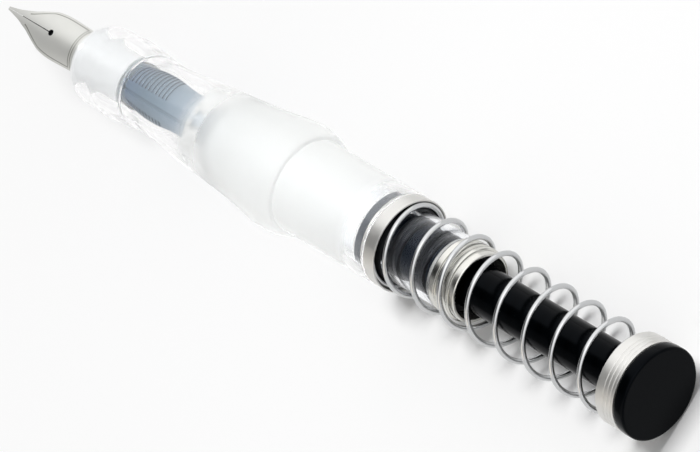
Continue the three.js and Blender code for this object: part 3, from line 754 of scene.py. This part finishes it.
def coil(name, material, sizes):
    tree, size = new_tree("coil spring", sizes)

    def value(operation, a, b=0.0):
        return calc(tree, operation, a, b)

    turns = value("ADD", size["Open turns"], value("MULTIPLY", size["Closed turns"], 2.0))
    count = value("ADD", value("MULTIPLY", turns, size["Steps"]), 1.0)
    line = add(tree, "GeometryNodeMeshLine", Count=count).outputs[0]
    turn = value("DIVIDE", add(tree, "GeometryNodeInputIndex").outputs[0], size["Steps"])
    past = value("MAXIMUM", value("SUBTRACT", turn, size["Closed turns"]), 0.0)
    opened = value("MINIMUM", past, size["Open turns"])
    closed = value("SUBTRACT", turn, opened)
    rise_closed = value("MULTIPLY", closed, size["Closed pitch"])
    rise_open = value("MULTIPLY", opened, size["Open pitch"])
    along = value("ADD", size["Start"], value("ADD", rise_closed, rise_open))
    angle = value("MULTIPLY", value("ADD", turn, size["Phase"]), 2 * math.pi)
    across = value("MULTIPLY", value("COSINE", angle), size["Coil radius"])
    lift = value("MULTIPLY", value("SINE", angle), size["Coil radius"])
    lift = value("ADD", lift, size["Axis height"])
    place = add(tree, "ShaderNodeCombineXYZ", X=along, Y=across, Z=lift).outputs[0]
    moved = add(tree, "GeometryNodeSetPosition", Geometry=line, Position=place).outputs[0]
    path = add(tree, "GeometryNodeMeshToCurve", Mesh=moved).outputs[0]
    wire = {"Resolution": 16, "Radius": size["Wire radius"]}
    section = add(tree, "GeometryNodeCurvePrimitiveCircle", **wire).outputs[0]
    swept = add(tree, "GeometryNodeCurveToMesh", Curve=path, Profile_Curve=section, Fill_Caps=True).outputs[0]
    return grown(name, tree, swept, material)

# %% The return spring
wire_radius = 0.35
washer_rear = span("spring_seat_washer")[1]
spring_first = washer_rear + play + wire_radius
spring_last = cup_floor - play - wire_radius
closed_pitch, open_turns, closed_turns = 1.2, 7.9, 0.7
spring_sizes = {
    "Wire radius": wire_radius * mm,
    "Coil radius": 5.6 * mm,
    "Axis height": axis_height,
    "Start": point(spring_first, 0, 0).x,
    "Closed pitch": closed_pitch * mm,
    "Closed turns": closed_turns,
    "Open turns": open_turns,
    "Open pitch": (spring_last - spring_first - 2 * closed_turns * closed_pitch) / open_turns * mm,
    "Phase": 0.38,
    "Steps": 64,
}
spring = coil("return_spring_wire", wire_steel, spring_sizes)
finish_piece(spring, wire_steel, "barrel", "spring_steel", "return_spring")
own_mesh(spring)

# %% [markdown]
# Rod and knob are polished acetal, almost black with a breath of blue where the lamp catches them. The
# piston inside is a dark blue moulding, and the seals are matt rubber.

# %% Plastics and rubber
def plastic(name, tint, roughness, mottle, depth, gloss=0.5, **more):
    """Plastic or rubber with a soft mottle, whose size and depth are in millimetres."""
    more.update(Base_Color=colour(tint), Roughness=roughness, Specular_IOR_Level=gloss)
    material, tree, shader = new_material(name, **more)
    mottled(tree, shader, mottle, depth)
    return material


cool = colour("DCE8FA")
black_acetal = plastic("polished black acetal", "020304", 0.16, 3.0, 0.004, gloss=0.045, Specular_Tint=cool)
piston_blue = plastic("dark blue moulded polypropylene", "080E17", 0.4, 4.0, 0.001, gloss=0.06)
nitrile = plastic("black nitrile rubber", "17191C", 0.55, 0.25, 0.006, gloss=0.3)
# Painted light: the gasket's black rubber is painted paler and bluer for the veil of light from the milky
# plastic in front.
gasket_rubber_painted_veil = plastic("black nitrile rubber behind milky plastic", "2C343D", 0.55, 0.25, 0.006, gloss=0.3)
silicone = plastic("pale silicone", "D5DDE0", 0.45, 0.4, 0.003, Transmission_Weight=0.6)

# %% The feed's plastic
ramp_front, ramp_rear = 16, 44
feed_colours_with_painted_veil = [
    (17, "0B0D10"), (17.5, "A3AFBA"), (26, "A3AFBA"), (26.5, "55667A"),
    (30, "5A6B79"), (34, "6B7B88"), (38.4, "88949F"), (39.4, "97A3AF"),
]


def abs_with_painted_veil(name, lit_share):
    """Black plastic painted paler to the rear for a veil of light, and paler still by a share of painted
    light.
    """
    material, tree, shader = new_material(name, Roughness=0.5, Specular_IOR_Level=0.2)
    # Painted light: this ramp paints the milky plastic's veil of light over the black feed, paler to the
    # rear.
    ramp = add(tree, "ShaderNodeValToRGB", Fac=ramped(tree, behind_tip(tree), ramp_front, ramp_rear))
    stops = ramp.color_ramp.elements
    stops[0].color, stops[1].color = colour("0B0D10"), colour("D3DEEA")
    for place, code in feed_colours_with_painted_veil:
        stops.new((place - ramp_front) / (ramp_rear - ramp_front)).color = colour(code)
    lightened = mixed_colour(tree, lit_share, ramp.outputs[0], colour("F2F6FA"))
    tree.links.new(lightened, shader.inputs["Base Color"])
    mottled(tree, shader, 0.3, 0.004)
    return material


feed_abs = abs_with_painted_veil("black ABS seen through milky plastic", 0.0)
feed_lit_copy = abs_with_painted_veil("lit edges of black ABS seen through milky plastic", 0.2)

# %% [markdown]
# The feed is one black moulding that carries ink to the nib and buffers it between fins. In the photograph
# it looks slate blue, and paler to the rear, because it is seen through the grip's slightly milky plastic.
# A veil of light that faint would be lost in a small picture, so it is painted into the feed's colour. Its
# parts are a drum that widens to the rear, twelve fins, a smooth band over them with the ink channel, a
# tongue under the nib and a thin tail.

# %% The feed's core
drum_front, drum_front_radius, drum_rear_radius = housing_rear + 0.1, 2.4, 2.85
fin_depth, fin_pitch, fin_thickness, fin_count = 0.2, 0.7, 0.26, 12
feed_front, feed_rear, _ = span("feed")
tail_radius, tail_bore, tail_bore_depth = 0.9, 0.4, 2


def drum_radius(place):
    """The radius of the drum over its fins, at a place."""
    share = (place - drum_front) / (drum_end - drum_front)
    return drum_front_radius + (drum_rear_radius - drum_front_radius) * share


rim_rear = drum_front + fin_thickness
fins_end = drum_front + fin_count * fin_pitch
tail_floor = feed_rear - tail_bore_depth
core = turned(
    "feed_core",
    [
        (drum_front, 0), (drum_front, drum_front_radius), (rim_rear, drum_radius(rim_rear)),
        (rim_rear, drum_front_radius - fin_depth), (fins_end, drum_radius(fins_end) - fin_depth),
        (fins_end, drum_radius(fins_end)), (drum_end, drum_rear_radius), (drum_end, tail_radius),
        (feed_rear, tail_radius), (feed_rear, tail_bore), (tail_floor, tail_bore), (tail_floor, 0),
    ],
    0.04, 96,
)

# %% The feed's tongue
def tube_faces(rows, count):
    """Faces that join rows of count points all the way round, and close both ends."""
    faces = [tuple(range(count)), tuple(range(rows * count, (rows + 1) * count))]
    for i in range(rows):
        for j in range(count):
            a, b = i * count + j, i * count + (j + 1) % count
            faces.append((a, b, b + count, a + count))
    return faces


tongue_radius, tongue_end = 2.9, drum_front + 0.1
tongue_shares = (0, 0.06, 0.2, 0.38, 0.56, 0.66, 0.72, 1)
half_widths = (0.06, 0.14, 0.38, 0.66, 0.88, 0.94, 0.95, 0.95)
tops = (0.31, 0.46, 0.72, 0.86, 0.91, 0.92, 0.92, 0.92)
bottoms = (0.12, 0.16, 0.08, -0.34, -0.82, -0.97, -1, -1)
tongue_lines = [follow(list(zip(tongue_shares, values))) for values in (half_widths, tops, bottoms)]
vertices, rows, sides = [], 36, 40
for i in range(rows + 1):
    half_width, top, bottom = (line(i / rows) for line in tongue_lines)
    for j in range(sides):
        turn = 2 * math.pi * j / sides
        y = math.sin(turn) * half_width * tongue_radius
        z = ((top + bottom) / 2 - math.cos(turn) * (top - bottom) / 2) * tongue_radius
        vertices.append(point(feed_front + (tongue_end - feed_front) * i / rows, y, z))
tongue = make_object("feed_tongue", vertices, tube_faces(rows, sides))
welded(tongue)

# %% The comb under the tongue
comb_front, comb_pitch, slot_count, slot_half_width = mouth - 6.1, 1.1, 5, 0.2
slot_reach, slot_bottom, slot_top = 3.2, -4.5, -0.4
box_faces = ((0, 1, 3, 2), (4, 6, 7, 5), (0, 4, 5, 1), (2, 3, 7, 6), (0, 2, 6, 4), (1, 5, 7, 3))
vertices, faces = [], []
for i in range(slot_count):
    slot = comb_front + i * comb_pitch
    low = point(slot - slot_half_width, -slot_reach, slot_bottom)
    high = point(slot + slot_half_width, slot_reach, slot_top)
    faces += [tuple(k + len(vertices) for k in face) for face in box_faces]
    vertices += [(x, y, z) for x in (low.x, high.x) for y in (low.y, high.y) for z in (low.z, high.z)]
comb = make_object("comb_cutter", vertices, faces)
welded(comb)
cut = tongue.modifiers.new("comb", "BOOLEAN")
cut.operation, cut.object, cut.solver = "DIFFERENCE", comb, "EXACT"
baked(tongue)
bpy.data.objects.remove(comb)
keep_sharp(tongue)

# %% [markdown]
# The fins repeat, so Geometry Nodes set them out: a row of points along the drum, with a disc at each, wider
# from disc to disc as the drum widens.

# %% The feed's fins
first_fin = drum_front + fin_pitch + fin_thickness / 2
fin_sizes = {
    "Count": fin_count - 1,
    "Pitch": fin_pitch * mm,
    "Thickness": fin_thickness * mm,
    "First radius": drum_radius(first_fin) * mm,
    "Growth": (drum_radius(fin_pitch) - drum_radius(0)) * mm,
    "Start": point(first_fin, 0, 0).x,
    "Axis height": axis_height,
}
tree, size = new_tree("feed fins", fin_sizes)
step = add(tree, "ShaderNodeCombineXYZ", X=size["Pitch"]).outputs[0]
line = add(tree, "GeometryNodeMeshLine", Count=size["Count"], Offset=step).outputs[0]
disc = add(tree, "GeometryNodeMeshCylinder", Vertices=96, Radius=1.0, Depth=size["Thickness"]).outputs[0]
upright = add(tree, "GeometryNodeTransform", Geometry=disc, Rotation=(0, math.pi / 2, 0)).outputs[0]
grow = calc(tree, "MULTIPLY", add(tree, "GeometryNodeInputIndex").outputs[0], size["Growth"])
radius = calc(tree, "ADD", size["First radius"], grow)
scale = add(tree, "ShaderNodeCombineXYZ", X=1.0, Y=radius, Z=radius).outputs[0]
placed = add(tree, "GeometryNodeInstanceOnPoints", Points=line, Instance=upright, Scale=scale).outputs[0]
solid = add(tree, "GeometryNodeRealizeInstances", Geometry=placed).outputs[0]
shift = add(tree, "ShaderNodeCombineXYZ", X=size["Start"], Z=size["Axis height"]).outputs[0]
moved = add(tree, "GeometryNodeSetPosition", Geometry=solid, Offset=shift).outputs[0]
fins = grown("feed_fins", tree, moved, feed_abs)
keep_sharp(fins)

# %% [markdown]
# The smooth band is a strip laid over the fins and raised a little above them, with the ink channel sunk
# into its middle. The fins and the channel get a paler copy of the plastic: painted light that collects in
# them.

# %% The smooth band
channel_turn, band_width, band_height, channel_width = -0.42, 1.2, 0.1, 0.3
channel_floor, band_root, edge_steps = 0.01, -fin_depth - 0.05, 8
half_turn, channel_half = band_width / drum_rear_radius, channel_width / 2 / drum_rear_radius
edge_turn = (half_turn - channel_half) / edge_steps
section = [(-half_turn + edge_turn * i, band_height) for i in range(edge_steps + 1)]
section += [(-channel_half, channel_floor), (channel_half, channel_floor)]
section += [(-angle, height) for angle, height in section[edge_steps::-1]]
section += [(half_turn, band_root), (-half_turn, band_root)]
vertices, rows = [], 24
for i in range(rows + 1):
    place = drum_front + (drum_end - drum_front) * i / rows
    for angle, height in section:
        radius, turn = drum_radius(place) + height, angle - channel_turn
        vertices.append(point(place, -radius * math.sin(turn), radius * math.cos(turn)))
band = make_object("feed_band", vertices, tube_faces(rows, len(section)))
welded(band)

# %% The whole feed
below_band, plain_end = 0.05, 0.5


def in_channel(face):
    """Whether a face of the band is the floor or a side of its ink channel."""
    turn = math.atan2(face.center.y, face.center.z - axis_height)
    from_end = abs(face.center.x - point(drum_end, 0, 0).x)
    if from_end <= plain_end * mm or abs(turn - channel_turn) >= 2 * channel_half:
        return False
    corners = [band.data.vertices[k].co for k in face.vertices]
    heights = [math.hypot(co.y, co.z - axis_height) / mm - drum_radius((co.x - tip) / mm) for co in corners]
    return min(heights) < below_band


def joined(name, pieces):
    """One object that holds the meshes of several, which are removed."""
    form = bmesh.new()
    for part in pieces:
        form.from_mesh(baked(part).data)
        bpy.data.objects.remove(part)
    whole = make_object(name, [], [])
    form.to_mesh(whole.data)
    form.free()
    return whole


# Painted light: the fins and the channel take the paler, lit copy of the feed's plastic.
for face in fins.data.polygons:
    face.material_index = 1
for face in band.data.polygons:
    face.material_index = int(in_channel(face))
feed = joined("feed_moulding", [core, tongue, fins, band])
keep_sharp(feed)
finish_piece(feed, feed_abs, "barrel", "feed_plastic", "feed")
feed.data.materials.append(feed_lit_copy)

# %% [markdown]
# The piston has two grooves for its seals, and each seal has a waist between two lips. The rod runs from the
# piston to the knob.

# %% Piston, rod and knob
piston_front, piston_rear, piston_radius = span("piston_head")
nose_front, nose_bevel, nose_radius = piston_front - 1.4, 0.5, piston_radius - 0.3
seal_groove, seal_bore, lip_width, waist = piston_radius - 0.7, 3.1, 0.4, 0.2
piston_seals = ("piston_front_seal", "piston_rear_seal")
outline = [(nose_front, 0), (nose_front, nose_radius), (nose_front + nose_bevel, piston_radius)]
for node in piston_seals:
    front, rear, _ = span(node)
    outline += [(front - play, piston_radius), (front - play, seal_groove)]
    outline += [(rear + play, seal_groove), (rear + play, piston_radius)]
outline += [(piston_rear, piston_radius), (piston_rear, 0)]
piston = turned("piston_moulding", outline, 0.12)
finish_piece(piston, piston_blue, "plunger", "piston_plastic", "piston_head")
for node in piston_seals:
    front, rear, radius = span(node)
    outline = [
        (front, seal_bore), (front, radius), (front + lip_width, radius),
        ((front + rear) / 2, radius - waist), (rear - lip_width, radius), (rear, radius), (rear, seal_bore),
    ]
    finish_piece(turned(node + "_rubber", outline, 0.1), nitrile, "plunger", "seal_rubber", node)

rod_front, _, rod_radius = span("plunger_rod")
knob_front, knob_face, knob_radius = span("push_knob")
rod_start = rod_front + 2.4
rod = turned("plunger_rod_black", bar(rod_start, knob_front - play, rod_radius), 0.1)
finish_piece(rod, black_acetal, "plunger", "black_plastic", "plunger_rod")
knob = turned("push_knob_black", bar(knob_front, knob_face, knob_radius), 0.35, 160)
finish_piece(knob, black_acetal, "plunger", "black_plastic", "push_knob")

# %% [markdown]
# Three round silicone rings seal the housing and the chamber. Three flat ones of rubber are the gasket, the
# rod's wiper and the spring's seat, which has a thin lip that hugs the chamber.

# %% Seals
def round_ring(node, name, steps=16):
    """A silicone ring with a round section, as thick as its node is long."""
    front, rear, outer = span(node)
    half = (rear - front) / 2
    turns = [2 * math.pi * i / steps for i in range(steps)]
    outline = [(front + half - math.cos(turn) * half, outer - half + math.sin(turn) * half) for turn in turns]
    finish_piece(turned(name, outline, 0), silicone, "barrel", "silicone", node)


def flat_ring(node, name, inner, edge, rubber, lip=0.0, lip_thickness=0.17):
    """A flat rubber ring, with a thin lip of the given length behind it that hugs what it is on."""
    front, rear, outer = span(node)
    outline = bar(front, rear, outer, inner)
    if lip:
        lip_radius = inner + lip_thickness
        outline[3:] = [(rear, lip_radius), (rear + lip, lip_radius), (rear + lip, inner)]
    finish_piece(turned(name, outline, edge), rubber, "barrel", "seal_rubber", node)


round_ring("housing_o_ring", "housing_seal_silicone")
round_ring("chamber_front_o_ring", "chamber_seal_silicone")
round_ring("end_cap_o_ring", "end_cap_seal_silicone")
flat_ring("chamber_gasket", "chamber_gasket_rubber", chamber_radius + 0.05, 0.15, gasket_rubber_painted_veil)
flat_ring("spring_seat_washer", "spring_seat_rubber", chamber_radius + 0.07, 0.03, nitrile, lip=1.3)
flat_ring("rod_wiper", "rod_wiper_rubber", rod_radius + 0.08, 0.1, nitrile)
